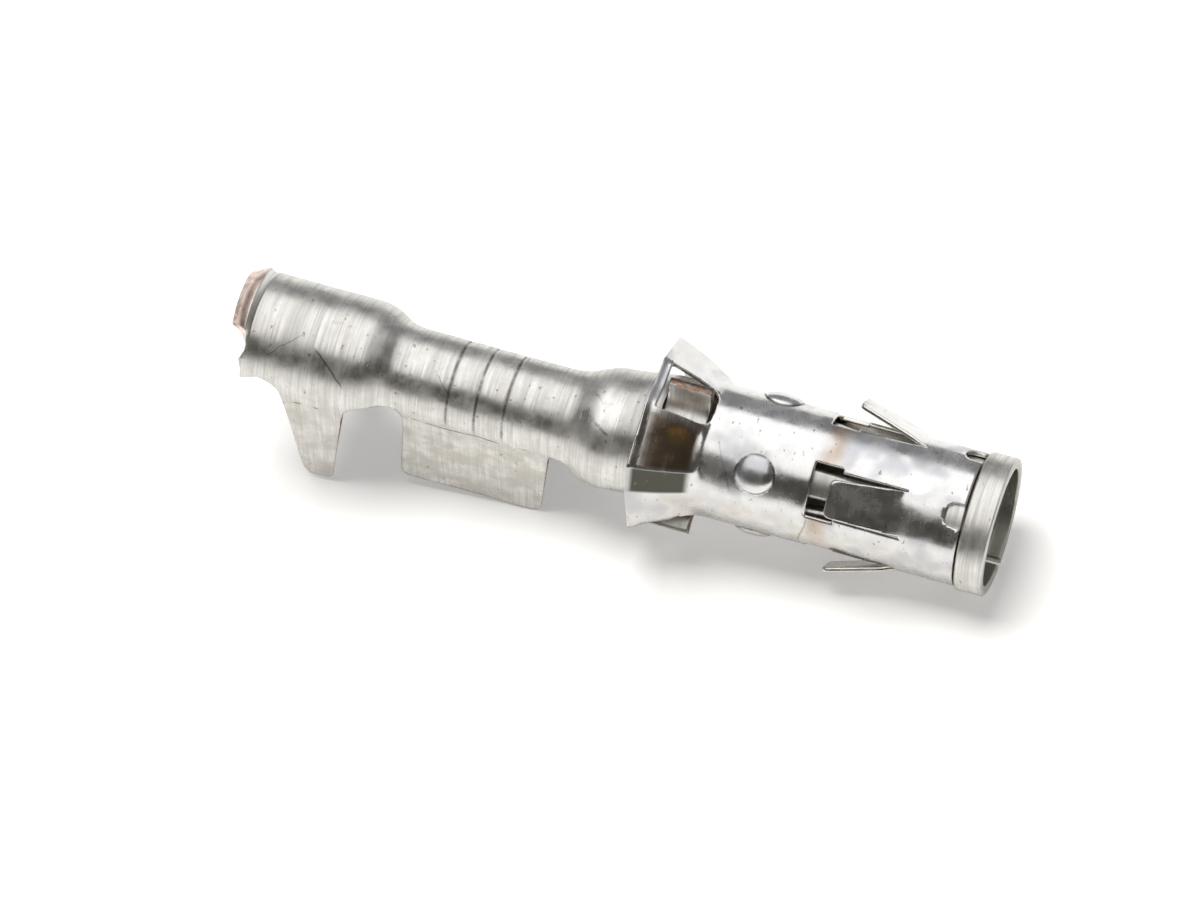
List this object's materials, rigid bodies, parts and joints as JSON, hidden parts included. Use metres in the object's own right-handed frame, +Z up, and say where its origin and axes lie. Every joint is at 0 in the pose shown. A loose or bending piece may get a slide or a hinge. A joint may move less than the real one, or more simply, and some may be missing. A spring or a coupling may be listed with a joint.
{
  "type": "round crimp socket terminal",
  "caption": "Round open-barrel crimp socket: slotted spring tube with a contact ring, wire and insulation barrels, and a thin steel sleeve with locking lances and a flared collar.",
  "frame": {"origin": "middle of the footprint, on the surface that the part lies on", "axes": "+X runs along the part to the mouth, +Z up; the socket's own axis dips towards the mouth"},
  "size_m": [0.0242, 0.0056, 0.0067],
  "materials": {
    "tinned_copper": "dull tin plate over copper alloy, bare copper at the cut edges",
    "spring_steel": "bright rolled steel"
  },
  "bodies": {
    "root": {"contact_body": "tinned_copper", "locking_sleeve": "spring_steel"}
  },
  "joints": []
}
